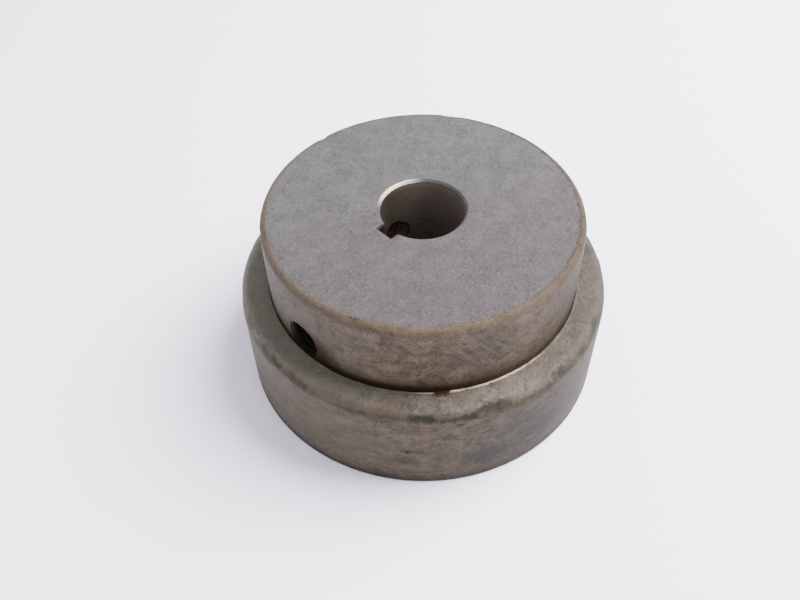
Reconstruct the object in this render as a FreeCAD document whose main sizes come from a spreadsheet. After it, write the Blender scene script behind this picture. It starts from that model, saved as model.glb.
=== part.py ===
"""Jaw coupling half: a hub with three jaws, a sliding collar, six load cushions, two set screws."""
import FreeCAD, Part
import os

import Sketcher

# Millimetres and degrees. The origin is the centre of the base, +Z runs up the bore to the
# hub's end face, and +X points at the keyway and at the set screw over it.
SIZES = {
    # hub
    "hub_dia": 73.0,
    "hub_edge_radius": 1.8,
    "hub_projection": 19.0,        # how far the hub stands out of the collar
    "bore_dia": 19.05,
    "bore_chamfer": 0.6,
    "keyway_width": 4.76,
    "keyway_depth": 2.38,
    # jaws, on the hub's lower end
    "jaw_length": 17.0,
    "jaw_radial_depth": 16.5,
    "jaw_angle": 28.0,
    "jaw_edge_chamfer": 0.8,
    "slot_angle": 30.0,            # room left for each jaw of the mating half
    # collar round the jaws
    "collar_height": 25.4,
    "collar_wall": 6.9,
    "collar_clearance": 0.05,      # radial, a running fit on the hub
    "collar_edge_radius": 2.6,
    "collar_bore_chamfer": 0.5,
    "collar_foot_radius": 0.5,
    # load cushions
    "cushion_clearance": 0.3,
    "cushion_recess": 1.0,         # the cushions stop this far above the jaw tips
    "cushion_corner": 1.5,
    "stub_dia": 5.0,
    "stub_length": 3.0,
    "stub_clearance": 0.1,
    # set screws
    "screw_dia": 7.94,
    "screw_clearance": 0.08,
    "screw_length": 19.05,
    "screw_recess": 3.2,
    "screw_below_face": 14.9,
    "screw_point_chamfer": 1.2,
    "socket_flats": 3.97,
    "socket_depth": 4.2,
    "side_screw_turn": 270.0,
}
JAWS = 3
NEAR = 1e-3                        # tolerance for finding an edge by its place


def new_sheet(doc):
    """The sheet of driving dimensions; every feature below is bound to its aliases."""
    sheet = doc.addObject("Spreadsheet::Sheet", "Sizes")
    for row, (alias, value) in enumerate(SIZES.items(), start=1):
        sheet.set(f"A{row}", alias)
        sheet.set(f"B{row}", str(value))
        sheet.setAlias(f"B{row}", alias)
    doc.recompute()
    return sheet


def bind(item, prop, expression):
    """Tie a property to the sheet: names in braces are aliases."""
    item.setExpression(prop, expression.replace("{", "Sizes.").replace("}", ""))


def new_body(doc, label):
    body = doc.addObject("PartDesign::Body", label)
    body.Label = label
    return body


def origin_item(body, role):
    for feature in body.Origin.OriginFeatures:
        if feature.Role == role:
            return feature
    raise ValueError(role)


def new_sketch(body, name, plane="XY_Plane", height=None):
    """A sketch on one of the body's origin planes, raised by an expression if one is given."""
    sketch = body.newObject("Sketcher::SketchObject", name)
    sketch.AttachmentSupport = [(origin_item(body, plane), "")]
    sketch.MapMode = "FlatFace"
    if height:
        bind(sketch, "AttachmentOffset.Base.z", height)
    return sketch


def pin_point(sketch, geometry, point, across, up):
    """Hold a point of the sketch at two distances from the sketch's origin."""
    for kind, expression in (("DistanceX", across), ("DistanceY", up)):
        index = sketch.addConstraint(Sketcher.Constraint(kind, -1, 1, geometry, point, 1.0))
        bind(sketch, f"Constraints[{index}]", expression)


def add_outline(sketch, corners):
    """A closed chain of straight lines through corners given as pairs of expressions."""
    count = len(corners)
    for index in range(count):
        start = FreeCAD.Vector(10 + index, 10 + index * index, 0)
        end = FreeCAD.Vector(11 + index, 10 + (index + 1) ** 2, 0)
        sketch.addGeometry(Part.LineSegment(start, end), False)
    for index in range(count):
        following = (index + 1) % count
        sketch.addConstraint(Sketcher.Constraint("Coincident", index, 2, following, 1))
    for index, (across, up) in enumerate(corners):
        pin_point(sketch, index, 1, across, up)


def add_circle(sketch, diameter, across="0", up="0"):
    """A circle of a given diameter, centred by two expressions."""
    circle = Part.Circle(FreeCAD.Vector(1, 1, 0), FreeCAD.Vector(0, 0, 1), 5)
    geometry = sketch.addGeometry(circle, False)
    index = sketch.addConstraint(Sketcher.Constraint("Diameter", geometry, 10.0))
    bind(sketch, f"Constraints[{index}]", diameter)
    pin_point(sketch, geometry, 3, across, up)


def revolve(body, name, sketch):
    """A full turn of a sketch about the vertical axis."""
    feature = body.newObject("PartDesign::Revolution", name)
    feature.Profile = sketch
    feature.ReferenceAxis = (origin_item(body, "Z_Axis"), [""])
    feature.Angle = 360.0
    return feature


def cut(body, name, sketch, depth=None, upward=True):
    """A pocket from a sketch: to a depth, or right through when no depth is given."""
    feature = body.newObject("PartDesign::Pocket", name)
    feature.Profile = sketch
    feature.Reversed = upward
    if depth:
        feature.Type = "Length"
        bind(feature, "Length", depth)
    else:
        feature.Type = "ThroughAll"
    return feature


def polar(body, name, feature, occurrences, angle="360"):
    """Repeat a feature about the vertical axis."""
    pattern = body.newObject("PartDesign::PolarPattern", name)
    pattern.Originals = [feature]
    pattern.Axis = (origin_item(body, "Z_Axis"), [""])
    bind(pattern, "Angle", angle)
    pattern.Occurrences = occurrences
    body.Tip = pattern
    return pattern


def round_rim(body, name, base, at_top, radius):
    """Round the widest circular edge at the top or the bottom of a turned shape."""
    box = base.Shape.BoundBox
    level = box.ZMax if at_top else box.ZMin
    rims = []
    for index, edge in enumerate(base.Shape.Edges, start=1):
        flat = abs(edge.BoundBox.ZMax - level) < NEAR and edge.BoundBox.ZLength < NEAR
        if flat and isinstance(edge.Curve, Part.Circle):
            rims.append((edge.Curve.Radius, f"Edge{index}"))
    widest = max(rims)[0]
    fillet = body.newObject("PartDesign::Fillet", name)
    fillet.Base = (base, [label for size, label in rims if widest - size < NEAR])
    bind(fillet, "Radius", radius)
    return fillet


def make_hub(doc):
    """Turned hub with a keyed bore, jaws and their cushion seats, and two set-screw holes."""
    body = new_body(doc, "hub")
    height = "{collar_height} + {hub_projection}"
    radius = "{hub_dia} / 2"
    bore = "{bore_dia} / 2"
    jaw_inner = "({hub_dia} / 2 - {jaw_radial_depth})"
    profile = new_sketch(body, "HubProfile", "XZ_Plane")
    add_outline(profile, [
        (bore, "{jaw_length} + {bore_chamfer}"),
        (f"{bore} + {{bore_chamfer}}", "{jaw_length}"),
        (jaw_inner, "{jaw_length}"),
        (jaw_inner, "{jaw_edge_chamfer}"),
        (f"{jaw_inner} + {{jaw_edge_chamfer}}", "0"),
        (f"{radius} - {{jaw_edge_chamfer}}", "0"),
        (radius, "{jaw_edge_chamfer}"),
        (radius, height),
        (f"{bore} + {{bore_chamfer}}", height),
        (bore, f"{height} - {{bore_chamfer}}"),
    ])
    turning = revolve(body, "HubTurning", profile)
    doc.recompute()
    round_rim(body, "HubEdge", turning, True, "{hub_edge_radius}")

    gap = new_sketch(body, "JawGap")
    half_gap = "(180 / 3 - {jaw_angle} / 2)"
    add_outline(gap, [
        ("0", "0"),
        (f"{{hub_dia}} * cos({half_gap})", f"-{{hub_dia}} * sin({half_gap})"),
        ("{hub_dia} * 1.2", "0"),
        (f"{{hub_dia}} * cos({half_gap})", f"{{hub_dia}} * sin({half_gap})"),
    ])
    gap_cut = cut(body, "JawGapCut", gap, "{jaw_length}")
    polar(body, "JawGaps", gap_cut, JAWS)

    seat = new_sketch(body, "StubSeat", height="{jaw_length}")
    middle = "({hub_dia} / 2 - {jaw_radial_depth} / 2)"
    off = "((180 / 3 - {jaw_angle} / 2 + {slot_angle} / 2) / 2)"
    for side in ("-", ""):
        add_circle(
            seat,
            "{stub_dia} + 2 * {stub_clearance}",
            f"{middle} * cos({off})",
            f"{side}{middle} * sin({off})",
        )
    seat_cut = cut(body, "StubSeatCut", seat, "{stub_length} + {stub_clearance}")
    polar(body, "StubSeats", seat_cut, JAWS)

    keyway = new_sketch(body, "Keyway")
    add_outline(keyway, [
        ("0", "-{keyway_width} / 2"),
        (f"{bore} + {{keyway_depth}}", "-{keyway_width} / 2"),
        (f"{bore} + {{keyway_depth}}", "{keyway_width} / 2"),
        ("0", "{keyway_width} / 2"),
    ])
    cut(body, "KeywayCut", keyway)

    hole = new_sketch(body, "ScrewHole", "YZ_Plane")
    screw_level = f"{height} - {{screw_below_face}}"
    add_circle(hole, "{screw_dia} + 2 * {screw_clearance}", "0", screw_level)
    hole_cut = cut(body, "ScrewHoleCut", hole, "{hub_dia}")
    polar(body, "ScrewHoles", hole_cut, 2, "{side_screw_turn}")
    return body


def make_collar(doc):
    """Plain ring that slides on the hub and closes the cushion pockets."""
    body = new_body(doc, "collar")
    inner = "({hub_dia} / 2 + {collar_clearance})"
    outer = "({hub_dia} / 2 + {collar_clearance} + {collar_wall})"
    profile = new_sketch(body, "CollarProfile", "XZ_Plane")
    add_outline(profile, [
        (inner, "{collar_bore_chamfer}"),
        (f"{inner} + {{collar_bore_chamfer}}", "0"),
        (outer, "0"),
        (outer, "{collar_height}"),
        (f"{inner} + {{collar_bore_chamfer}}", "{collar_height}"),
        (inner, "{collar_height} - {collar_bore_chamfer}"),
    ])
    turning = revolve(body, "CollarTurning", profile)
    doc.recompute()
    edge = round_rim(body, "CollarEdge", turning, True, "{collar_edge_radius}")
    doc.recompute()
    round_rim(body, "CollarFoot", edge, False, "{collar_foot_radius}")
    return body


def make_cushion(doc, label, middle_angle):
    """Elastomer block that fills the space between a jaw and the next mating jaw."""
    inner_radius = "({hub_dia} / 2 - {jaw_radial_depth} + {cushion_clearance})"
    outer_radius = "({hub_dia} / 2 - {cushion_clearance})"
    block_height = "({jaw_length} - {cushion_recess} - {cushion_clearance})"
    spread = f"2 * asin({{cushion_clearance}} / {inner_radius}) / 1 deg"
    sector = doc.addObject("Part::Cylinder", f"{label}_sector")
    bind(sector, "Radius", outer_radius)
    bind(sector, "Height", block_height)
    bind(sector, "Angle", f"60 - {{jaw_angle}} / 2 - {{slot_angle}} / 2 - {spread}")
    bind(
        sector,
        "Placement.Rotation.Angle",
        f"-(60 - {{jaw_angle}} / 2 - {{slot_angle}} / 2 - {spread}) / 2",
    )
    core = doc.addObject("Part::Cylinder", f"{label}_core")
    bind(core, "Radius", inner_radius)
    bind(core, "Height", block_height)
    ring = doc.addObject("Part::Cut", f"{label}_ring")
    ring.Base = sector
    ring.Tool = core
    doc.recompute()
    rounded = doc.addObject("Part::Fillet", f"{label}_rounded")
    rounded.Base = ring
    corner = doc.Sizes.cushion_corner
    uprights = [
        (index, corner, corner)
        for index, edge in enumerate(ring.Shape.Edges, start=1)
        if len(edge.Vertexes) == 2
        and abs(edge.Vertexes[0].Z - edge.Vertexes[1].Z) > NEAR
    ]
    rounded.Edges = uprights
    stub = doc.addObject("Part::Cylinder", f"{label}_stub")
    bind(stub, "Radius", "{stub_dia} / 2")
    bind(stub, "Height", "{stub_length} + {cushion_clearance} + {cushion_corner}")
    bind(stub, "Placement.Base.x", "{hub_dia} / 2 - {jaw_radial_depth} / 2")
    bind(stub, "Placement.Base.z", f"{block_height} - {{cushion_corner}}")
    cushion = doc.addObject("Part::Fuse", label)
    cushion.Label = label
    cushion.Base = rounded
    cushion.Tool = stub
    bind(cushion, "Placement.Base.z", "{cushion_recess}")
    bind(cushion, "Placement.Rotation.Angle", middle_angle)
    return cushion


def make_set_screw(doc, label, turn):
    """Cup-point screw with a hexagon socket, lying in its hole with its socket outwards."""
    body = new_body(doc, label)
    radius = "{screw_dia} / 2"
    profile = new_sketch(body, f"{label}_profile", "XZ_Plane")
    add_outline(profile, [
        ("0", "0"),
        (f"{radius} - {{screw_point_chamfer}}", "0"),
        (radius, "{screw_point_chamfer}"),
        (radius, "{screw_length} - {screw_point_chamfer} / 2"),
        (f"{radius} - {{screw_point_chamfer}} / 2", "{screw_length}"),
        ("0", "{screw_length}"),
    ])
    revolve(body, f"{label}_turning", profile)
    socket = new_sketch(body, f"{label}_socket", height="{screw_length}")
    corner = "{socket_flats} / 2 / cos(30)"
    add_outline(socket, [
        (f"{corner} * cos({60 * side})", f"{corner} * sin({60 * side})")
        for side in range(6)
    ])
    cut(body, f"{label}_socket_cut", socket, "{socket_depth}", upward=False)
    tip = "({hub_dia} / 2 - {screw_recess} - {screw_length})"
    bind(body, "Placement.Base.x", f"{tip} * cos({turn})")
    bind(body, "Placement.Base.y", f"{tip} * sin({turn})")
    bind(body, "Placement.Base.z", "{collar_height} + {hub_projection} - {screw_below_face}")
    bind(
        body,
        "Placement.Rotation",
        f"rotation(vector(0; 0; 1); {turn}) * rotation(vector(0; 1; 0); 90)",
    )
    return body


def check(doc, pieces):
    """Stop if any feature failed or any piece is empty, broken or more than one solid."""
    for item in doc.Objects:
        if "Invalid" in item.State or "Error" in item.State:
            raise RuntimeError(f"{item.Label}: {item.State}")
    for piece in pieces:
        shape = piece.Shape
        if shape.isNull() or not shape.isValid() or len(shape.Solids) != 1:
            raise RuntimeError(f"{piece.Label}: bad shape")


def main():
    doc = FreeCAD.newDocument("jaw_coupling")
    new_sheet(doc)
    pieces = [make_hub(doc), make_collar(doc)]
    middle = "((60 - {jaw_angle} / 2 + {slot_angle} / 2) / 2)"
    number = 0
    for jaw in range(JAWS):
        for side in (1, -1):
            number += 1
            angle = f"{jaw * 360 / JAWS} + {side} * {middle}"
            pieces.append(make_cushion(doc, f"cushion_{number}", angle))
    pieces.append(make_set_screw(doc, "keyway_set_screw", "0"))
    pieces.append(make_set_screw(doc, "side_set_screw", "{side_screw_turn}"))
    doc.recompute()
    check(doc, pieces)
    os.makedirs("parts", exist_ok=True)
    for piece in pieces:
        piece.Shape.exportStep(f"parts/{piece.Label}.step")
        print(f"{piece.Label}: {piece.Shape.Volume:.1f} mm3")


main()
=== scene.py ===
import math
import bpy
import bmesh
from mathutils import Vector, Matrix, Quaternion, noise


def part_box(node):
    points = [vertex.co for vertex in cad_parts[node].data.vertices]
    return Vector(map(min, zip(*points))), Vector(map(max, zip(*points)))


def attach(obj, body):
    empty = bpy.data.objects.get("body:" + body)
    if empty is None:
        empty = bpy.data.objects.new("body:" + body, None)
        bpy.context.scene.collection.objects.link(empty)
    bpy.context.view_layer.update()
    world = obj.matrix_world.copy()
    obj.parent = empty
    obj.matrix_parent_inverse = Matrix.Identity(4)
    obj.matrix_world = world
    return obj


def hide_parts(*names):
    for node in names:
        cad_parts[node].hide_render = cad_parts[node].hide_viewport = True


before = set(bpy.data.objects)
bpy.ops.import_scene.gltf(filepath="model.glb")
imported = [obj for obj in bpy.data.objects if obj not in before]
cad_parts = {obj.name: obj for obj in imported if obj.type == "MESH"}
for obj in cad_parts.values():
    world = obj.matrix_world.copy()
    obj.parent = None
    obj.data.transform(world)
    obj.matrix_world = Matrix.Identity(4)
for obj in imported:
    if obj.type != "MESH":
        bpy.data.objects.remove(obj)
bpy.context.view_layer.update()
mm = 0.001
fullTurn = 2 * math.pi
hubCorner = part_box("hub")[1]
hubTop = hubCorner[2] / mm
hubRadius = hubCorner[0] / mm
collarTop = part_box("collar")[1][2] / mm
print("frame loaded, hub", round(hubRadius * 2, 2), "by", round(hubTop, 2))


class Wire:
    # a socket's output; + - * / and ** on it add Math nodes
    def __init__(self, finish, socket):
        self.finish = finish
        self.socket = socket

    def maths(self, operation, first, second):
        return self.finish.node("ShaderNodeMath", {"operation": operation}, {0: first, 1: second})

    def __add__(self, other):
        return self.maths("ADD", self, other)

    def __radd__(self, other):
        return self.maths("ADD", other, self)

    def __sub__(self, other):
        return self.maths("SUBTRACT", self, other)

    def __rsub__(self, other):
        return self.maths("SUBTRACT", other, self)

    def __mul__(self, other):
        return self.maths("MULTIPLY", self, other)

    def __rmul__(self, other):
        return self.maths("MULTIPLY", other, self)

    def __truediv__(self, other):
        return self.maths("DIVIDE", self, other)

    def __rtruediv__(self, other):
        return self.maths("DIVIDE", other, self)

    def __pow__(self, other):
        return self.maths("POWER", self, other)


class Finish:
    # one material and its nodes
    def __init__(self, name):
        self.material = bpy.data.materials.new(name)
        self.material.use_nodes = True
        self.tree = self.material.node_tree
        self.tree.nodes.clear()
        self.out = self.tree.nodes.new("ShaderNodeOutputMaterial")
        self.place = self.node("ShaderNodeTexCoord", output="Object")
        self.at = self.node("ShaderNodeVectorMath", {"operation": "SCALE"}, {0: self.place, "Scale": 1 / mm})
        parts = self.tree.nodes.new("ShaderNodeSeparateXYZ")
        self.tree.links.new(self.at.socket, parts.inputs[0])
        self.x, self.y, self.z = (Wire(self, parts.outputs[i]) for i in range(3))

    def node(self, kind, settings=None, inputs=None, output=0):
        made = self.tree.nodes.new(kind)
        for key, value in (settings or {}).items():
            setattr(made, key, value)
        for key, value in (inputs or {}).items():
            if isinstance(value, Wire):
                self.tree.links.new(value.socket, made.inputs[key])
            else:
                made.inputs[key].default_value = value
        return Wire(self, made.outputs[output])

    def polar(self):
        # distance from the axis and angle round it, in millimetres and radians
        away = (self.x * self.x + self.y * self.y) ** 0.5
        angle = self.node("ShaderNodeMath", {"operation": "ARCTAN2"}, {0: self.y, 1: self.x})
        return away, angle

    def facing(self, angle, degrees):
        # 1 on the side at this many degrees, -1 on the side opposite
        return self.node("ShaderNodeMath", {"operation": "COSINE"}, {0: angle - math.radians(degrees)})

    def grain(self, scale, detail=4.0, rough=0.6, stretch=None, twist=0.0, seed=0.0):
        where = self.at
        if stretch:
            where = self.node("ShaderNodeVectorMath", {"operation": "MULTIPLY"}, {0: where, 1: stretch})
        shift = (seed, seed * 0.7, -seed)
        where = self.node("ShaderNodeVectorMath", {"operation": "ADD"}, {0: where, 1: shift})
        return self.node(
            "ShaderNodeTexNoise", {},
            {"Vector": where, "Scale": scale, "Detail": detail, "Roughness": rough, "Distortion": twist},
        )

    def pick(self, value, low, high):
        # 0 below low, 1 above high
        return self.node(
            "ShaderNodeMapRange", {"interpolation_type": "SMOOTHSTEP", "clamp": True},
            {"Value": value, "From Min": low, "From Max": high, "To Min": 0.0, "To Max": 1.0},
        )

    def band(self, value, low, high, soft):
        # 1 between low and high
        return self.pick(value, low - soft, low + soft) * (1 - self.pick(value, high - soft, high + soft))

    def mix(self, factor, first, second):
        # a Mix node's colour sockets are 6 and 7, and its colour result is 2
        first, second = (value if isinstance(value, Wire) else (*value, 1) for value in (first, second))
        return self.node("ShaderNodeMix", {"data_type": "RGBA"}, {0: factor, 6: first, 7: second}, output=2)

    def smudge(self, ragged, angle, across, up, size, away=None, torn=2.2):
        # a ragged spot at an angle and a height
        # size is its half width, half height and, at an edge, half depth
        turn = self.node(
            "ShaderNodeMath", {"operation": "WRAP"},
            {0: angle - math.radians(across), 1: math.pi, 2: -math.pi},
        )
        sideways = turn * (hubRadius / size[0])
        upward = (self.z - up) / size[1]
        spread = sideways * sideways + upward * upward
        if away is not None:
            inward = (away[0] - away[1]) / size[2]
            spread = spread + inward * inward
        return 1 - self.pick(spread ** 0.5 + (ragged - 0.5) * torn, 0.35, 1.1)

    def close(self, colour, rough, height, metal, depth, extra=None):
        bump = self.node("ShaderNodeBump", {}, {"Strength": 1.0, "Distance": depth * mm, "Height": height})
        sockets = {"Base Color": colour, "Roughness": rough, "Metallic": metal, "Normal": bump}
        sockets.update(extra or {})
        shader = self.node("ShaderNodeBsdfPrincipled", {}, sockets)
        self.tree.links.new(shader.socket, self.out.inputs[0])
        return self.material


arcStep = 0.35  # millimetres along an arc


def roundedOutline(corners):
    # a closed line through corners of (r, z, rounding, step after it), with an arc at each corner
    points = []
    count = len(corners)
    ends = []
    for i in range(count):
        here = Vector(corners[i][:2])
        rounding = corners[i][2]
        before = Vector(corners[i - 1][:2]) - here
        after = Vector(corners[(i + 1) % count][:2]) - here
        corner = before.angle(after)
        reach = rounding / math.tan(corner / 2)
        middle = (before.normalized() + after.normalized()).normalized()
        centre = here + middle * (rounding / math.sin(corner / 2))
        start = here + before.normalized() * reach
        stop = here + after.normalized() * reach
        ends.append((start, centre, stop))
    for i in range(count):
        start, centre, stop = ends[i]
        radius = (start - centre).length
        first = math.atan2(*(start - centre).yx)
        last = math.atan2(*(stop - centre).yx)
        swing = (last - first + math.pi) % fullTurn - math.pi
        pieces = max(2, round(abs(swing) * radius / arcStep))
        for k in range(pieces + 1):
            turn = first + swing * k / pieces
            points.append((centre.x + radius * math.cos(turn), centre.y + radius * math.sin(turn)))
        following = ends[(i + 1) % count][0]
        cuts = max(1, round((following - stop).length / corners[i][3]))
        for k in range(1, cuts):
            point = stop.lerp(following, k / cuts)
            points.append((point.x, point.y))
    return points


def newPiece(name, build):
    mesh = bpy.data.meshes.new(name)
    build.to_mesh(mesh)
    build.free()
    piece = bpy.data.objects.new(name, mesh)
    bpy.context.collection.objects.link(piece)
    return piece


def skin(name, loops, closed=False, place=None):
    # joins loops of the same count into one surface, which closed makes a ring instead of capping it
    build = bmesh.new()
    rings = [[build.verts.new(Vector(point) * mm) for point in loop] for loop in loops]
    count = len(rings[0])
    pairs = list(zip(rings, rings[1:]))
    if closed:
        pairs.append((rings[-1], rings[0]))
    for lower, upper in pairs:
        for i in range(count):
            j = (i + 1) % count
            build.faces.new((lower[i], lower[j], upper[j], upper[i]))
    if not closed:
        build.faces.new(list(reversed(rings[0])))
        build.faces.new(rings[-1])
    bmesh.ops.recalc_face_normals(build, faces=build.faces)
    if place:
        bmesh.ops.transform(build, matrix=place, verts=build.verts)
    return newPiece(name, build)


def turned(name, outline, sides, wear):
    # an outline turned about the Z axis, with each point moved by wear(r, z, angle)
    loops = []
    for i in range(sides):
        angle = fullTurn * i / sides
        worn = [wear(r, z, angle) for r, z in outline]
        loops.append([(r * math.cos(angle), r * math.sin(angle), z) for r, z in worn])
    return skin(name, loops, closed=True)


def soften(piece, degrees=32):
    piece.data.shade_smooth()
    piece.data.set_sharp_from_angle(angle=math.radians(degrees))


def carve(piece, cutters):
    for cutter in cutters:
        step = piece.modifiers.new("cut", "BOOLEAN")
        step.operation = "DIFFERENCE"
        step.solver = "EXACT"
        step.object = cutter
    bpy.context.view_layer.update()
    carved = bpy.data.meshes.new_from_object(piece.evaluated_get(bpy.context.evaluated_depsgraph_get()))
    piece.modifiers.clear()
    # closes the pinholes a cut can leave between thin faces
    shell = bmesh.new()
    shell.from_mesh(carved)
    bmesh.ops.holes_fill(shell, edges=[edge for edge in shell.edges if edge.is_boundary], sides=6)
    shell.to_mesh(carved)
    shell.free()
    plain = piece.data
    piece.data = carved
    carved.name = piece.name
    bpy.data.meshes.remove(plain)
    for cutter in cutters:
        bpy.data.meshes.remove(cutter.data)


def prism(name, corners, low, high):
    return skin(name, [[(x, y, low) for x, y in corners], [(x, y, high) for x, y in corners]])


def drift(x, y, z, size, seed=0.0):
    # smooth noise from -1 to 1 with lumps of a size in millimetres
    return noise.noise(Vector((x / size + seed, y / size - seed, z / size + seed * 0.5)))


def edgeBite(r, z, angle, marks):
    # how far the chips listed as (degrees, height, width, tall, depth) take the surface back
    bite = 0.0
    for across, up, width, tall, depth in marks:
        turn = (angle - math.radians(across) + math.pi) % fullTurn - math.pi
        far = math.hypot(turn * r / width, (z - up) / tall)
        far += 0.35 * drift(r * math.cos(angle), r * math.sin(angle), z, 1.1, across)
        if far < 1:
            bite = max(bite, depth * (1 - far * far))
    return bite


# sizes are in millimetres and angles in degrees, here and below
screwTurns = {"keyway_set_screw": 0, "side_set_screw": 270}

hub = {
    "bore": 9.525, "boreEdge": 0.6, "jawInner": 20.0, "jawLength": 17.0, "jawEdge": 0.8,
    "jawHalfAngle": 14.0, "topRounding": 1.8, "sides": 288,
    "keyHalfWidth": 2.38, "keyReach": 11.905,
    "screwHeight": hubTop - 14.9, "holeRadius": 4.42, "threadDepth": 0.4, "pitch": 1.41,
    "holeStart": 5.3, "holePast": 0.53, "holePoints": 48, "flare": 0.12, "flareLength": 1.5,
    "cutReach": 60, "cutBelow": 5, "cutAbove": 3, "cutPast": 0.03, "keyStart": 4, "keyLow": 12,
    "seatRadius": 2.6, "seatDepth": 3.1, "seatFrom": 28.25, "seatAngle": 30.5, "seatBelow": 1,
    "seatPoints": 24,
    "chips": [  # degrees, height, half width, half height, depth
        (22, 44.0, 1.8, 1.1, 0.35), (38, 44.2, 1.3, 0.9, 0.25), (57, 43.9, 2.4, 1.2, 0.3),
        (71, 44.0, 1.2, 0.8, 0.3), (96, 44.1, 1.9, 1.0, 0.3), (140, 44.0, 2.1, 1.0, 0.35),
        (214, 44.1, 2.6, 1.1, 0.3), (268, 44.0, 1.6, 1.0, 0.35), (331, 44.0, 2.2, 1.0, 0.3),
        (84, 33.5, 2.2, 1.4, 0.12), (63, 36.0, 1.2, 0.7, 0.1), (181, 35.0, 3.0, 0.8, 0.12),
    ],
}


def hubWear(r, z, angle):
    # waves the wall, dips the face a little and bites chips out of the edge
    x, y = r * math.cos(angle), r * math.sin(angle)
    if r < hub["jawInner"] and z < hubTop - 0.1:
        return r, z
    amount = 0.05 * drift(x, y, z, 5.0, 3.1) + 0.035 * drift(x, y, z, 1.7, 7.7)
    onTop = z > hubTop - 0.1 and r < hubRadius - 1.2
    if onTop:
        return r, z - 0.03 * abs(drift(x, y, z, 2.1, 5.2))
    if z > hubTop - 2.5:
        amount -= 0.10 * max(0.0, drift(x, y, z, 2.4, 1.3)) + 0.05
    bite = edgeBite(r, z, angle, hub["chips"])
    lean = 1.0 if z < hubTop - 1.6 else 0.7
    return r + min(0.0, amount) - bite * lean, z - bite * (1 - lean)


def outward(degrees, height):
    # turns +Z to point away from the axis at an angle and height
    return (
        Matrix.Translation((0, 0, height * mm))
        @ Matrix.Rotation(math.radians(degrees), 4, "Z")
        @ Matrix.Rotation(math.pi / 2, 4, "Y")
    )


def threadedHole(degrees):
    # the cutter of one screw hole, a threaded rod from the bore out, flared at its mouth
    start, stop = hub["holeStart"], hubRadius + hub["holePast"]
    radius, pitch, points = hub["holeRadius"], hub["pitch"], hub["holePoints"]
    loops = []
    steps = round((stop - start) / (pitch / 6))
    for i in range(steps + 1):
        z = start + (stop - start) * i / steps
        loop = []
        for k in range(points):
            angle = fullTurn * (k + 0.37) / points  # turned a little, so no edge meets one of the bore's
            wave = (z / pitch - k / points) % 1.0
            ridge = 1 - abs(2 * wave - 1)
            r = radius - hub["threadDepth"] * (1 - ridge)
            r = max(r, radius + hub["flare"] - max(0.0, stop - hub["flareLength"] - z))
            loop.append((r * math.cos(angle), r * math.sin(angle), z))
        loops.append(loop)
    return skin("hole", loops, place=outward(degrees, hub["screwHeight"]))


def makeHub():
    b, e = hub["bore"], hub["boreEdge"]
    outline = roundedOutline([
        (b, hub["jawLength"] + e, 0.15, 2.0),
        (b + e, hub["jawLength"], 0.15, 3.0),
        (hub["jawInner"], hub["jawLength"], 0.3, 4.0),
        (hub["jawInner"], hub["jawEdge"], 0.25, 1.0),
        (hub["jawInner"] + hub["jawEdge"], 0, 0.25, 3.0),
        (hubRadius - hub["jawEdge"], 0, 0.25, 1.0),
        (hubRadius, hub["jawEdge"], 0.25, 0.62),
        (hubRadius, hubTop, hub["topRounding"], 0.75),
        (b + e, hubTop, 0.12, 0.4),
        (b, hubTop - e, 0.15, 2.0),
    ])
    body = turned("hubBody", outline, hub["sides"], hubWear)
    half = math.radians(60 - hub["jawHalfAngle"])
    cutters = []
    for k in range(3):
        middle = math.radians(120 * k)
        corners = [(0, 0)]
        for angle in (middle - half, middle, middle + half):
            corners.append((hub["cutReach"] * math.cos(angle), hub["cutReach"] * math.sin(angle)))
        cutters.append(prism("gap", corners, -hub["cutBelow"], hub["jawLength"] + hub["cutPast"]))
    w, start, reach = hub["keyHalfWidth"], hub["keyStart"], hub["keyReach"]
    notch = [(start, -w), (reach, -w), (reach, w), (start, w)]
    cutters.append(prism("key", notch, hub["keyLow"], hubTop + hub["cutAbove"]))
    for k in range(3):
        for side in (-1, 1):
            angle = math.radians(120 * k + side * hub["seatAngle"])
            cx, cy = hub["seatFrom"] * math.cos(angle), hub["seatFrom"] * math.sin(angle)
            turns = [fullTurn * i / hub["seatPoints"] for i in range(hub["seatPoints"])]
            ring = [
                (cx + hub["seatRadius"] * math.cos(t), cy + hub["seatRadius"] * math.sin(t)) for t in turns
            ]
            low, high = hub["jawLength"] - hub["seatBelow"], hub["jawLength"] + hub["seatDepth"]
            cutters.append(prism("seat", ring, low, high))
    for degrees in screwTurns.values():
        cutters.append(threadedHole(degrees))
    carve(body, cutters)
    soften(body)
    return body


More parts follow.
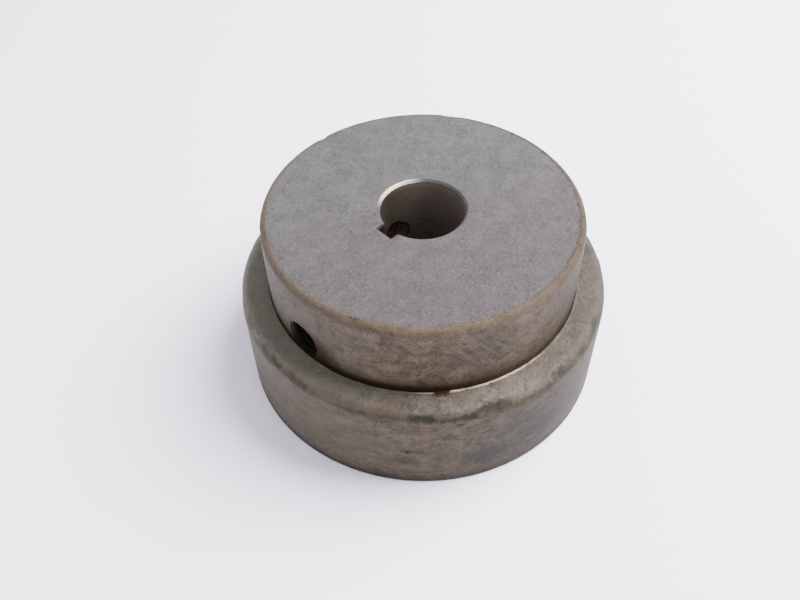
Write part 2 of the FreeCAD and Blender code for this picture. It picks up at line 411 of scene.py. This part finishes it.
collar = {
    "inner": 36.55, "outer": 43.45, "edgeRounding": 2.6, "lip": 0.45, "foot": 0.5, "sides": 420,
    "bittenFrom": 41,
    "chips": [  # degrees, height, half width, half height, depth
        (45, 24.3, 2.9, 0.7, 0.45), (57, 24.0, 2.8, 0.7, 0.4), (51, 24.2, 2.4, 0.5, 0.2),
        (64.5, 24.6, 3.4, 0.7, 0.45), (69, 24.8, 1.6, 0.6, 0.3), (55.5, 22.2, 1.2, 0.5, 0.2),
        (41, 12.6, 1.0, 0.6, 0.35),
        (12, 24.4, 3.0, 0.8, 0.25), (-3, 24.8, 2.2, 0.8, 0.3), (-16, 23.9, 3.2, 0.8, 0.3),
        (86, 25.0, 1.6, 0.8, 0.3), (93, 24.6, 2.0, 1.0, 0.3), (118, 24.6, 2.6, 0.9, 0.3),
        (150, 25.0, 3.4, 0.8, 0.35), (187, 24.7, 2.2, 0.8, 0.35), (236, 24.9, 3.0, 0.9, 0.4),
        (290, 24.8, 2.4, 0.9, 0.35), (33, 2.0, 3.0, 1.0, 0.2), (80, 6.5, 2.2, 1.2, 0.15),
        (160, 9.0, 2.0, 1.0, 0.2), (255, 14.0, 1.8, 1.2, 0.2),
    ],
    "stains": [  # degrees, height, half width, half height, strength
        (83, 10, 6, 4, 0.75), (64, 8.2, 7, 3.5, 0.7), (74, 17, 4, 2, 0.4), (40, 9, 3.5, 2.5, 0.5),
        (205, 9, 9, 6, 0.4), (300, 14, 8, 5, 0.35),
    ],
    "smears": [  # degrees, height, half width, half height, strength
        (45, 24.1, 4.0, 1.1, 1.0), (57, 23.7, 3.6, 0.9, 0.9), (51, 23.8, 4.5, 0.5, 0.6),
        (64.5, 24.5, 4.2, 1.1, 0.9), (69, 24.7, 2.0, 0.9, 0.8), (55.5, 22.0, 1.6, 0.7, 0.8),
        (41, 12.6, 2.0, 1.1, 0.9), (44.5, 13.6, 2.8, 1.3, 0.5), (36, 24.2, 7.0, 0.5, 0.45),
        (25, 23.8, 6.0, 0.7, 0.4), (5, 24.0, 5.0, 1.2, 0.6), (-8, 23.8, 5.0, 1.3, 0.55),
        (-22, 24.2, 3.0, 1.0, 0.5),
        (90, 24.6, 2.6, 1.4, 0.9), (101, 23.6, 3.0, 1.6, 0.8), (112, 24.8, 2.4, 1.2, 0.8),
        (160, 24.4, 5.0, 1.2, 0.6), (238, 24.4, 4.4, 1.2, 0.6), (291, 24.3, 3.6, 1.2, 0.6),
    ],
}


def collarWear(r, z, angle):
    # as on the hub, but the inner wall and the foot stay true
    x, y = r * math.cos(angle), r * math.sin(angle)
    if r < collar["inner"] + 0.1 or z < 0.3:
        return r, z
    amount = 0.09 * drift(x, y, z, 7.0, 2.2) + 0.05 * drift(x, y, z, 2.3, 4.1)
    amount += 0.02 * drift(x, y, z, 0.9, 9.3)
    bite = edgeBite(r, z, angle, collar["chips"])
    if z > collarTop - 0.1:
        bite = bite if r > collar["bittenFrom"] else 0.0
        return r, z - 0.10 * abs(drift(x, y, z, 3.0, 6.6)) - 0.3 * bite
    if z > collarTop - 3:
        amount -= 0.15 * max(0.0, drift(x, y, z, 3.1, 8.8)) + 0.05
        return r + min(0.0, amount) - bite * 0.75, z - bite * 0.65
    return r + min(0.0, amount) - bite, z


def makeCollar():
    outline = roundedOutline([
        (collar["inner"], 0, 0.4, 2.5),
        (collar["outer"], 0, collar["foot"], 0.6),
        (collar["outer"], collarTop, collar["edgeRounding"], 0.5),
        (collar["inner"], collarTop, collar["lip"], 2.0),
    ])
    ring = turned("collarRing", outline, collar["sides"], collarWear)
    soften(ring)
    return ring


cushion = {
    "inner": 20.3, "outer": 36.2, "low": 1.0, "high": 16.7, "halfAngle": 14.87, "corner": 1.5,
    "edge": 0.7, "crown": 0.12, "stubRadius": 2.5, "stubTop": 20.0,
    "stubFrom": hub["seatFrom"], "sidePoints": 12,
}


def blockOutline(inset):
    # the block seen from above, about its own middle line along +X, pulled in by inset
    half = math.radians(cushion["halfAngle"])
    inner, outer = cushion["inner"] + inset, cushion["outer"] - inset
    corner = cushion["corner"]
    points = []
    for r, first in ((outer, -1), (inner, 1)):
        side = half - inset / r
        turn = corner / r
        for i in range(cushion["sidePoints"] + 1):
            along = 1 - 2 * i / cushion["sidePoints"]
            points.append((r, first * along * (side - turn * 0.35)))
    ring = []
    for r, angle in points:
        edge = abs(angle) / (half - inset / r)
        pull = max(0.0, edge - (1 - corner / (r * half))) / (corner / (r * half))
        shift = corner * 0.45 * pull * pull
        r = r - shift if r > cushion["stubFrom"] else r + shift
        ring.append((r * math.cos(angle), r * math.sin(angle)))
    return ring


def makeCushion(name, degrees, seed):
    e = cushion["edge"]
    low, high = cushion["low"], cushion["high"]
    middle = cushion["stubFrom"]
    centre = Vector((middle, 0))
    levels = []
    # from the middle of the recess underneath out to the rim
    for scale, lift in ((0.0, 0.55), (0.35, 0.55), (0.42, 0.2), (0.5, 0.02), (0.8, 0.0)):
        loop = []
        for x, y in blockOutline(e):
            flat = centre.lerp(Vector((x, y)), max(scale, 0.02))
            loop.append((flat.x, flat.y, low + lift))
        levels.append(loop)
    for k in range(5):
        t = math.pi / 2 * k / 4
        levels.append([(x, y, low + e - e * math.cos(t)) for x, y in blockOutline(e - e * math.sin(t))])
    for k in range(1, 9):
        z = low + e + (high - low - 2 * e) * k / 9
        bulge = cushion["crown"] * math.sin(math.pi * k / 9)
        levels.append([(x, y, z) for x, y in blockOutline(-bulge)])
    for k in range(5):
        t = math.pi / 2 * k / 4
        levels.append([(x, y, high - e + e * math.sin(t)) for x, y in blockOutline(e - e * math.cos(t))])
    top = cushion["stubTop"]
    ringAngles = [math.atan2(y, x - middle) for x, y in blockOutline(e)]
    for grow, z in ((1.25, high), (1.06, high + 0.08), (1.0, high + 0.3), (1.0, top - 0.4), (0.85, top)):
        stub = cushion["stubRadius"] * grow
        levels.append([(middle + stub * math.cos(t), stub * math.sin(t), z) for t in ringAngles])
    turn = Matrix.Rotation(math.radians(degrees), 4, "Z")
    block = skin(name, levels, place=turn)
    for vertex in block.data.vertices:
        p = vertex.co / mm
        vertex.co += vertex.normal * (0.03 * mm * drift(p.x, p.y, p.z, 3.0, seed))
    soften(block, 50)
    return block


screw = {
    "radius": 3.97, "threadDepth": 0.42, "pitch": 1.41, "length": 19.05, "recess": 3.2,
    "socket": 1.985, "socketDepth": 4.2, "cupRadius": 2.3, "cupDepth": 0.9, "faceRadius": 3.0, "points": 48,
}


def makeScrew(name, degrees):
    stop = hubRadius - screw["recess"]
    start = stop - screw["length"]
    n = screw["points"]
    loops = []

    def ring(r, z):
        return [(r * math.cos(fullTurn * k / n), r * math.sin(fullTurn * k / n), z) for k in range(n)]

    def hexRing(flats, z):
        loop = []
        for k in range(n):
            angle = fullTurn * k / n
            away = flats / math.cos((angle + math.pi / 6) % (math.pi / 3) - math.pi / 6)
            loop.append((away * math.cos(angle), away * math.sin(angle), z))
        return loop

    pinhole = 0.05  # closes a cup or a socket at its middle
    loops.append(ring(pinhole, start + screw["cupDepth"]))
    loops.append(ring(screw["cupRadius"] - 0.3, start + 0.1))
    loops.append(ring(screw["cupRadius"], start))
    steps = round(screw["length"] / (screw["pitch"] / 6))
    for i in range(steps + 1):
        z = start + screw["length"] * i / steps
        loop = []
        for k in range(n):
            angle = fullTurn * k / n
            wave = (z / screw["pitch"] - k / n) % 1.0
            r = screw["radius"] - screw["threadDepth"] * abs(2 * wave - 1)
            # tapers to the cup and to the face
            r = min(r, screw["cupRadius"] + 0.2 + (z - start), screw["faceRadius"] + 0.3 + (stop - z) * 1.2)
            loop.append((r * math.cos(angle), r * math.sin(angle), z))
        loops.append(loop)
    loops.append(ring(screw["faceRadius"], stop))
    bottom = stop - screw["socketDepth"]
    loops.append(hexRing(screw["socket"] + 0.12, stop))
    loops.append(hexRing(screw["socket"], stop - 0.15))
    loops.append(hexRing(screw["socket"], bottom + 0.6))
    loops.append(hexRing(screw["socket"] * 0.75, bottom + 0.5))
    loops.append(ring(pinhole, bottom))
    body = skin(name, loops, place=outward(degrees, hub["screwHeight"]))
    soften(body, 35)
    return body


# colours of the hub, some of them on the collar too
steel = {
    "face": (0.039, 0.038, 0.039), "facePale": (0.055, 0.0535, 0.055), "faceDark": (0.018, 0.018, 0.021),
    "faceLight": (0.135, 0.131, 0.134), "plum": (0.052, 0.036, 0.044), "moss": (0.036, 0.049, 0.037),
    "wall": (0.056, 0.042, 0.025), "wallPale": (0.098, 0.076, 0.050), "wallDark": (0.016, 0.012, 0.007),
    "wallPlum": (0.060, 0.038, 0.030), "wallMoss": (0.045, 0.046, 0.028), "bruise": (0.036, 0.031, 0.031),
    "clean": (0.125, 0.115, 0.102), "bore": (0.115, 0.094, 0.079), "green": (0.075, 0.076, 0.062),
    "sparkle": (0.125, 0.105, 0.072), "rust": (0.054, 0.036, 0.026), "deepRust": (0.014, 0.006, 0.001),
    "orange": (0.055, 0.027, 0.009), "paintedHighlight": (0.46, 0.39, 0.31), "paintedShade": (0.005, 0.004, 0.003),
    "thread": (0.19, 0.13, 0.095), "metal": 0.1, "gloss": {"Specular IOR Level": 0.12},
}


def hubSteel():
    f = Finish("sinteredHubSteel")
    away, angle = f.polar()
    fine = f.grain(2.3, 3, 0.75, seed=2)
    speck = f.grain(1.3, 5, 0.75, seed=11)
    cloud = f.grain(0.2, 5, 0.6, seed=5)
    blotch = f.grain(0.36, 6, 0.66, twist=0.5, seed=17)
    tint = f.grain(0.6, 4, 0.65, seed=31)
    streak = f.grain(0.26, 5, 0.65, stretch=(0.7, 0.7, 1.5), twist=0.3, seed=23)
    face = f.mix(f.pick(cloud, 0.40, 0.60), steel["face"], steel["facePale"])
    face = f.mix(f.pick(tint, 0.5, 0.64) * 0.5, face, steel["plum"])
    face = f.mix((1 - f.pick(tint, 0.36, 0.5)) * 0.45, face, steel["moss"])
    face = f.mix(f.pick(blotch, 0.52, 0.66) * 0.3, face, steel["faceDark"])
    near = f.pick(f.x * 0.5 + f.y, -25.0, 35.0)
    face = f.mix(near * 0.45, face, steel["plum"])
    face = f.mix((1 - near) * 0.12, face, steel["faceLight"])
    pitted = f.pick(speck, 0.50, 0.62) * (0.2 + f.pick(streak, 0.4, 0.6) * 0.4)
    face = f.mix(pitted, face, steel["faceDark"])
    face = f.mix(f.pick(fine, 0.52, 0.68) * 0.35, face, steel["faceLight"])
    # turning marks run round the wall
    lines = f.grain(1.0, 4, 0.7, stretch=(0.12, 0.12, 3.4), seed=8)
    wall = f.mix(f.pick(streak, 0.38, 0.62), steel["wall"], steel["wallPale"])
    wall = f.mix(f.pick(tint, 0.48, 0.6) * 0.6, wall, steel["wallPlum"])
    wall = f.mix((1 - f.pick(tint, 0.36, 0.48)) * 0.6, wall, steel["wallMoss"])
    wall = f.mix(f.pick(blotch, 0.47, 0.66) * 0.65, wall, steel["wallDark"])
    wall = f.mix(f.pick(lines, 0.52, 0.68) * 0.3, wall, steel["wallDark"])
    wall = f.mix(f.pick(speck, 0.5, 0.64) * 0.5, wall, steel["wallDark"])
    wall = f.mix(f.pick(fine, 0.52, 0.66) * 0.45, wall, steel["sparkle"])
    # dark bruise with slanting scratches, on the side away from the screws
    lean = angle * (hubRadius * 0.75) + f.z * 0.65
    along = angle * (hubRadius * 0.65) - f.z * 0.75
    slant = f.node("ShaderNodeCombineXYZ", {}, {0: along * 0.12, 1: lean * 1.5})
    scratch = f.node(
        "ShaderNodeTexNoise", {}, {"Vector": slant, "Scale": 1.0, "Detail": 4.0, "Roughness": 0.7},
    )
    bruise = f.smudge(blotch, angle, 68, hubTop - 8, (11, 7))
    # painted light: a lighter greenish tone on the side of the wall turned away from the lamp
    leftward = f.facing(angle, -35)
    wall = f.mix(f.pick(leftward, 0.2, 0.9) * 0.4, wall, steel["green"])
    wall = f.mix(bruise * 0.35, wall, steel["bruise"])
    wall = f.mix(bruise * f.pick(scratch, 0.5, 0.62) * 0.5, wall, steel["wallDark"])
    wall = f.mix(bruise * (1 - f.pick(scratch, 0.36, 0.48)) * 0.5, wall, steel["wallPale"])
    # painted shade: the wall is darkened on the side that faces the lamp
    darkenedLampSide = f.facing(angle, 150)
    wall = f.mix(f.pick(darkenedLampSide, 0.25, 0.85) * 0.8, wall, steel["wallDark"])
    # cleaner where the collar covers it
    covered = 1 - f.pick(f.z, collarTop - 1.6, collarTop - 0.9)
    wall = f.mix(covered * 0.6, wall, steel["clean"])
    ragged = (fine - 0.5) + (speck - 0.5) * 1.4
    edge = hubRadius - hub["topRounding"]
    onFace = 1 - f.pick(away + ragged * 1.3, edge - 0.25, edge + 0.45)
    onFace = onFace * f.pick(f.z, hubTop - 1.6, hubTop - 1.2)
    colour = f.mix(onFace, wall, face)
    # brown strip under the top edge
    outer = f.pick(away, hubRadius - 1.5, hubRadius - 0.8)
    strip = f.pick(f.z + ragged * 1.4, hubTop - 2.5, hubTop - 1.5)
    strip = strip * f.pick(away + ragged, edge - 0.1, edge + 0.5)
    colour = f.mix(strip * (0.65 - f.pick(blotch, 0.42, 0.62) * 0.5), colour, steel["rust"])
    # dark line where the wall meets the collar, strongest towards the keyway side
    towards = f.facing(angle, 22)
    shown = f.pick(f.z, collarTop - 1.5, collarTop - 0.7)
    seam = shown * (1 - f.pick(f.z + ragged * 0.5, collarTop + 0.9, collarTop + 2.7))
    colour = f.mix(seam * outer * (f.pick(towards, 0.3, 0.95) * 0.6 + 0.4), colour, steel["deepRust"])
    # painted shade: a wider, weaker darkening fading up the wall from the collar
    spread = shown * (1 - f.pick(f.z + ragged * 1.4, collarTop + 1.0, collarTop + 5.0))
    colour = f.mix(spread * outer * 0.35, colour, steel["wallDark"])
    # grease round the set-screw holes
    for degrees in screwTurns.values():
        smear = f.smudge(blotch, angle, degrees + 4, hub["screwHeight"] - 1.2, (9.5, 7.5), torn=0.9)
        colour = f.mix(smear * outer * 0.9, colour, steel["deepRust"])
    # rust at the keyway's corner
    spotX = f.x - 10.8
    spotY = (f.y - 2.8) / 0.7
    spot = 1 - f.pick((spotX * spotX + spotY * spotY) ** 0.5 + (speck - 0.5) * 0.8, 0.4, 1.1)
    colour = f.mix(spot * 0.7, colour, steel["orange"])
    # machined edge of the bore, then the bore itself, painted lighter than the wall to stand in for light
    # inside it
    b, screwAt = hub["bore"], hub["screwHeight"]
    rim = f.band(away, b - 0.1, b + hub["boreEdge"] + 0.08, 0.06) * f.pick(f.z, hubTop - 1.0, hubTop - 0.7)
    # painted highlight on one side of the edge, the rest of the edge a little darker
    towardsChamferHighlight = f.facing(angle, 268)
    brightPart = f.pick(towardsChamferHighlight, 0.6, 1.0) ** 2
    colour = f.mix(rim * (1 - brightPart) * 0.2, colour, steel["faceDark"])
    chamferHighlight = rim * brightPart * 0.8
    colour = f.mix(chamferHighlight, colour, steel["paintedHighlight"])
    inside = (1 - f.pick(away, b + 2.3, b + 2.9)) * (1 - f.pick(f.z, hubTop - 0.9, hubTop - 0.65))
    lampLitBoreWall = f.facing(angle, 318)
    colour = f.mix(inside * 0.85, colour, steel["bore"])
    # painted shade on the side of the bore wall that faces the lamp
    colour = f.mix(inside * f.pick(lampLitBoreWall, -0.1, 0.9) * 0.85, colour, steel["paintedShade"])
    # painted shade in the keyway
    colour = f.mix(inside * f.pick(away, b + 0.1, b + 0.4) * 0.85, colour, steel["paintedShade"])
    # painted shade inside the screw holes
    atScrew = f.band(f.z, screwAt - 5, screwAt + 5, 0.3)
    deep = f.band(away, b + 0.6, hubRadius - 0.7, 0.35) * atScrew
    colour = f.mix(deep * 0.95, colour, steel["paintedShade"])
    # the threads nearest the bore are painted lighter, standing in for the light that reaches into the holes
    paintedLightThreads = f.band(away, b + 0.6, b + 7, 0.35) * atScrew
    colour = f.mix(paintedLightThreads * 0.9, colour, steel["thread"])
    rough = 0.6 + (speck - 0.5) * 0.25 - chamferHighlight * 0.36 + deep * 0.3
    metal = chamferHighlight * 0.7 + steel["metal"]
    height = speck * 0.6 + fine * 0.5 + lines * (1 - onFace) * 0.5 + blotch * 0.5
    return f.close(colour, rough, height, metal=metal, depth=0.22, extra=steel["gloss"])


ringSteel = {
    "wall": (0.041, 0.032, 0.018), "wallPale": (0.076, 0.061, 0.040), "wallMoss": (0.038, 0.041, 0.024),
    "wallRust": (0.056, 0.036, 0.018), "wallDark": (0.015, 0.0125, 0.008), "wallSpark": (0.118, 0.102, 0.070),
    "ledge": (0.058, 0.045, 0.036), "ledgePale": (0.082, 0.068, 0.057), "ledgeMoss": (0.054, 0.058, 0.047),
    "ledgeDark": (0.024, 0.020, 0.017), "ledgeSpark": (0.15, 0.13, 0.112), "ledgePaintedShade": (0.026, 0.022, 0.019),
    "ledgePaintedLight": (0.125, 0.126, 0.104), "wallPaintedLight": (0.105, 0.098, 0.074), "lipToneAndPaintedLight": (0.13, 0.13, 0.09),
    "stainAndShade": (0.0155, 0.0145, 0.012), "oil": (0.0065, 0.007, 0.0075), "shade": (0.0175, 0.0135, 0.005),
    "foot": (0.013, 0.012, 0.008), "redEdge": (0.040, 0.022, 0.013), "smear": (0.013, 0.013, 0.010),
    "lip": (0.44, 0.32, 0.23),
}


def collarSteel():
    f = Finish("wornCollarSteel")
    away, angle = f.polar()
    fine = f.grain(2.2, 3, 0.75, seed=41)
    speck = f.grain(0.95, 5, 0.72, seed=43)
    cloud = f.grain(0.15, 5, 0.6, seed=47)
    blotch = f.grain(0.34, 6, 0.66, stretch=(0.85, 0.85, 1.3), twist=0.4, seed=53)
    tint = f.grain(0.5, 4, 0.65, seed=57)
    lines = f.grain(1.0, 4, 0.7, stretch=(0.12, 0.12, 2.8), seed=59)
    patch = f.grain(0.6, 5, 0.7, seed=67)
    streak = f.grain(0.24, 5, 0.65, stretch=(0.7, 0.7, 1.4), twist=0.3, seed=61)
    wall = f.mix(f.pick(streak, 0.38, 0.62), ringSteel["wall"], ringSteel["wallPale"])
    wall = f.mix(f.pick(tint, 0.48, 0.6) * 0.5, wall, ringSteel["wallMoss"])
    wall = f.mix((1 - f.pick(tint, 0.36, 0.48)) * 0.4, wall, ringSteel["wallRust"])
    wall = f.mix(f.pick(blotch, 0.45, 0.68) * 0.7, wall, ringSteel["wallDark"])
    wall = f.mix(f.pick(lines, 0.54, 0.7) * 0.3, wall, steel["wallDark"])
    wall = f.mix(f.pick(speck, 0.5, 0.64) * 0.5, wall, steel["wallDark"])
    wall = f.mix(f.pick(fine, 0.52, 0.66) * 0.45, wall, ringSteel["wallSpark"])
    ledge = f.mix(f.pick(cloud, 0.38, 0.62), ringSteel["ledge"], ringSteel["ledgePale"])
    ledge = f.mix(f.pick(tint, 0.48, 0.6) * 0.4, ledge, ringSteel["ledgeMoss"])
    ledge = f.mix(f.pick(blotch, 0.5, 0.62) * 0.6, ledge, ringSteel["ledgeDark"])
    ledge = f.mix(f.pick(speck, 0.5, 0.64) * 0.45, ledge, steel["wallDark"])
    ledge = f.mix(f.pick(fine, 0.52, 0.66) * 0.45, ledge, ringSteel["ledgeSpark"])
    # painted light: a lighter greenish tone on the ledge and wall on the side away from the lamp, where the
    # hub also shades the ledge; painted shade on the ledge's lamp side
    leftward = f.facing(angle, -30)
    ledge = f.mix(f.pick(leftward, 0.2, 0.95) * 0.6, ledge, ringSteel["ledgePaintedLight"])
    wall = f.mix(f.pick(leftward, 0.3, 0.95) * 0.35, wall, ringSteel["wallPaintedLight"])
    ledge = f.mix(f.pick(leftward * -1, 0.1, 0.8) * 0.5, ledge, ringSteel["ledgePaintedShade"])
    ragged = (speck - 0.5) * 1.4 + (blotch - 0.5) * 2.0
    onLedge = f.pick(f.z + ragged * 0.8, collarTop - 2.2, collarTop - 0.3)
    colour = f.mix(onLedge, wall, ledge)
    # wide brown stain low on one side, also serving as painted shade on that side, which the lamp lights
    stainAndShade = f.smudge(blotch, angle, 80, 10, (17, 11))
    colour = f.mix(stainAndShade * (0.25 + f.pick(tint, 0.42, 0.58) * 0.5), colour, ringSteel["stainAndShade"])
    # painted shade: the wall is darkened on the side that faces the lamp
    darkenedLampSide = f.facing(angle, 120)
    colour = f.mix(f.pick(darkenedLampSide, 0.15, 0.9) * (1 - onLedge) * 0.6, colour, ringSteel["shade"])
    for across, up, width, tall, strong in collar["stains"]:
        mark = f.smudge(blotch, angle, across, up, (width, tall), torn=1.8)
        colour = f.mix(mark * strong * 0.75, colour, ringSteel["oil"])
    # painted shade: the wall darkens towards its foot, where it stands on the floor
    foot = 1 - f.pick(f.z + ragged * 0.5, 0.4, 3.8)
    colour = f.mix(foot * 0.75, colour, ringSteel["foot"])
    redEdge = f.smudge(blotch, angle, 20, collarTop - 0.9, (26, 1.6, 1.9), away=(away, collar["outer"] - 0.8))
    colour = f.mix(redEdge * 0.5, colour, ringSteel["redEdge"])
    film = f.smudge(blotch, angle, 20, 12, (24, 10))
    colour = f.mix(film * 0.35, colour, steel["wall"])
    for across, up, width, tall, strong in collar["smears"]:
        mark = f.smudge(patch, angle, across, up, (width, tall, 1.6), away=(away, collar["outer"] - 0.9))
        colour = f.mix(mark * strong * 0.9, colour, ringSteel["smear"])
    # pale lip with a painted highlight along one stretch of it, broken by dirt, and rust in the gap under it
    inner = collar["inner"]
    lip = f.band(away + (speck - 0.5) * 0.7, inner + 0.02, inner + 0.6, 0.15)
    lip = lip * f.pick(f.z, collarTop - 0.6, collarTop - 0.25)
    towardsLipHighlight = f.facing(angle, 66)
    lipHighlight = f.pick(towardsLipHighlight, 0.86, 0.998) ** 1.6 * 0.85
    # painted light: the lip's pale tone is stronger on the side away from the lamp
    colour = f.mix(lip * (0.25 + f.pick(leftward, 0.3, 0.9) * 0.5), colour, ringSteel["lipToneAndPaintedLight"])
    broken = f.pick(patch * 0.6 + fine * 0.4, 0.42, 0.52) * 0.75 + 0.25
    dirt = f.smudge(patch, angle, 51.5, collarTop, (2.7, 2.5, 1.5), away=(away, inner + 0.4))
    colour = f.mix(dirt * 0.9, colour, steel["deepRust"])
    colour = f.mix(lip * lipHighlight * broken * (1 - dirt), colour, ringSteel["lip"])
    under = (1 - f.pick(f.z, collarTop - 0.9, collarTop - 0.4)) * (1 - f.pick(away, inner + 0.2, inner + 0.6))
    colour = f.mix(under * 0.7, colour, steel["deepRust"])
    rough = 0.58 + (speck - 0.5) * 0.25 + (blotch - 0.5) * 0.15 - lip * lipHighlight * 0.2
    height = speck * 0.7 + fine * 0.5 + lines * (1 - onLedge) * 0.4 + blotch * 0.8
    return f.close(colour, rough, height, metal=steel["metal"], depth=0.26, extra=steel["gloss"])


rubber = {"black": (0.010, 0.010, 0.0105), "dust": (0.034, 0.031, 0.028), "scuff": (0.055, 0.052, 0.048)}


def cushionRubber():
    f = Finish("nitrileRubber")
    fine = f.grain(3.0, 3, 0.7, seed=71)
    dust = f.grain(0.35, 5, 0.7, seed=73)
    flow = f.grain(0.5, 3, 0.5, stretch=(1, 1, 0.3), seed=79)
    colour = f.mix(f.pick(dust, 0.45, 0.75) * 0.5, rubber["black"], rubber["dust"])
    colour = f.mix(f.pick(fine, 0.6, 0.85) * 0.3, colour, rubber["scuff"])
    rough = 0.58 + (dust - 0.5) * 0.3
    return f.close(colour, rough, fine * 0.5 + flow * 0.6, metal=0.0, depth=0.06, extra=steel["gloss"])


screwTones = {
    "oxide": (0.05, 0.046, 0.042), "worn": (0.16, 0.13, 0.11), "spark": (0.3, 0.27, 0.24),
    "rusty": (0.085, 0.056, 0.040), "brightPart": (0.22, 0.195, 0.17),
}


def screwSteel():
    f = Finish("blackOxideScrew")
    fine = f.grain(4.0, 3, 0.7, seed=83)
    wear = f.grain(1.1, 4, 0.6, seed=89)
    away = (f.x * f.x + f.y * f.y) ** 0.5
    colour = f.mix(f.pick(wear, 0.45, 0.7) * 0.7, screwTones["oxide"], screwTones["worn"])
    colour = f.mix(f.pick(fine, 0.55, 0.8) * 0.4, colour, screwTones["spark"])
    end = hubRadius - screw["recess"]
    face = f.pick(away, end - 0.4, end - 0.1)
    # rusty outer end, rubbed bright in places by the key
    colour = f.mix(face * 0.9, colour, screwTones["rusty"])
    brightPart = face * f.pick(wear, 0.56, 0.62)
    colour = f.mix(brightPart * 0.8, colour, screwTones["brightPart"])
    rough = 0.42 + (wear - 0.5) * 0.3
    metal = 0.85 - face * 0.7 + brightPart * 0.5
    return f.close(colour, rough, fine * 0.5 + wear * 0.5, metal=metal, depth=0.05)


paper = {"fibre": (0.83, 0.79, 0.93), "sheet": (0.87, 0.83, 0.965)}


def paperFloor():
    f = Finish("paleFloor")
    fibre = f.grain(1.2, 4, 0.6, seed=97)
    colour = f.mix(fibre * 0.3, paper["fibre"], paper["sheet"])
    return f.close(colour, 0.75 + fibre * 0.1, fibre, metal=0.0, depth=0.02)


def dress(piece, finish, body, node):
    piece.data.materials.clear()
    piece.data.materials.append(finish)
    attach(piece, body)
    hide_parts(node)


hubFinish = hubSteel()
collarFinish = collarSteel()
rubberFinish = cushionRubber()
screwFinish = screwSteel()
print("finishes ready")
dress(makeHub(), hubFinish, "hub", "hub")
print("hub done")
dress(makeCollar(), collarFinish, "collar", "collar")
print("collar done")
number = 0
for jaw in range(3):
    for side in (1, -1):
        number += 1
        block = makeCushion(f"cushionBlock{number}", 120 * jaw + side * hub["seatAngle"], number * 3.3)
        dress(block, rubberFinish, "hub", f"cushion_{number}")
print("cushions done")
for name, degrees in screwTurns.items():
    dress(makeScrew(name.replace("_set_screw", "Screw"), degrees), screwFinish, name, name)
print("screws done")


# the floor and the light are in metres, the view is in millimetres and degrees
studio = {
    "floorHalf": 1.2, "lightFrom": (-0.643, 0.304, 1.0), "lightAway": 0.75, "lightSize": 0.6,
    "lightPower": 31.0, "lightColour": (1.0, 0.99, 0.97), "skyColour": (0.95, 0.93, 0.97), "skyStrength": 1.6,
}
view = {
    "away": 138.8, "towards": 45.0, "height": 167.6, "aimAcross": -5.21, "aimBeyond": -7.98,
    "aimHeight": 22.5, "roll": -1.44, "lens": 37.2,
}


def makeFloor():
    build = bmesh.new()
    bmesh.ops.create_grid(build, x_segments=24, y_segments=24, size=studio["floorHalf"])
    floor = newPiece("floor", build)
    floor.data.materials.append(paperFloor())


def makeLight():
    towards = Vector(studio["lightFrom"]).normalized()
    lamp = bpy.data.lights.new("softbox", "AREA")
    lamp.shape = "DISK"
    lamp.size = studio["lightSize"]
    lamp.energy = studio["lightPower"]
    lamp.color = studio["lightColour"]
    holder = bpy.data.objects.new("softbox", lamp)
    bpy.context.collection.objects.link(holder)
    holder.location = towards * studio["lightAway"]
    holder.rotation_euler = (-towards).to_track_quat("-Z", "Y").to_euler()
    world = bpy.data.worlds.new("sky")
    bpy.context.scene.world = world
    world.use_nodes = True
    sky = world.node_tree.nodes["Background"]
    sky.inputs["Color"].default_value = (*studio["skyColour"], 1)
    sky.inputs["Strength"].default_value = studio["skyStrength"]


def makeCamera():
    turn = math.radians(view["towards"])
    outwards = Vector((math.cos(turn), math.sin(turn), 0))
    sideways = Vector((-math.sin(turn), math.cos(turn), 0))
    place = outwards * view["away"] + Vector((0, 0, view["height"]))
    aim = outwards * -view["aimBeyond"] + sideways * view["aimAcross"] + Vector((0, 0, view["aimHeight"]))
    look = (aim - place).normalized()
    facing = look.to_track_quat("-Z", "Y") @ Quaternion((0, 0, 1), math.radians(view["roll"]))
    lens = bpy.data.cameras.new("camera")
    lens.lens = view["lens"]
    lens.sensor_width = 36
    lens.clip_start = 0.01
    camera = bpy.data.objects.new("camera", lens)
    bpy.context.collection.objects.link(camera)
    camera.location = place * mm
    camera.rotation_euler = facing.to_euler()
    bpy.context.scene.camera = camera


makeFloor()
makeLight()
makeCamera()
print("stage done")
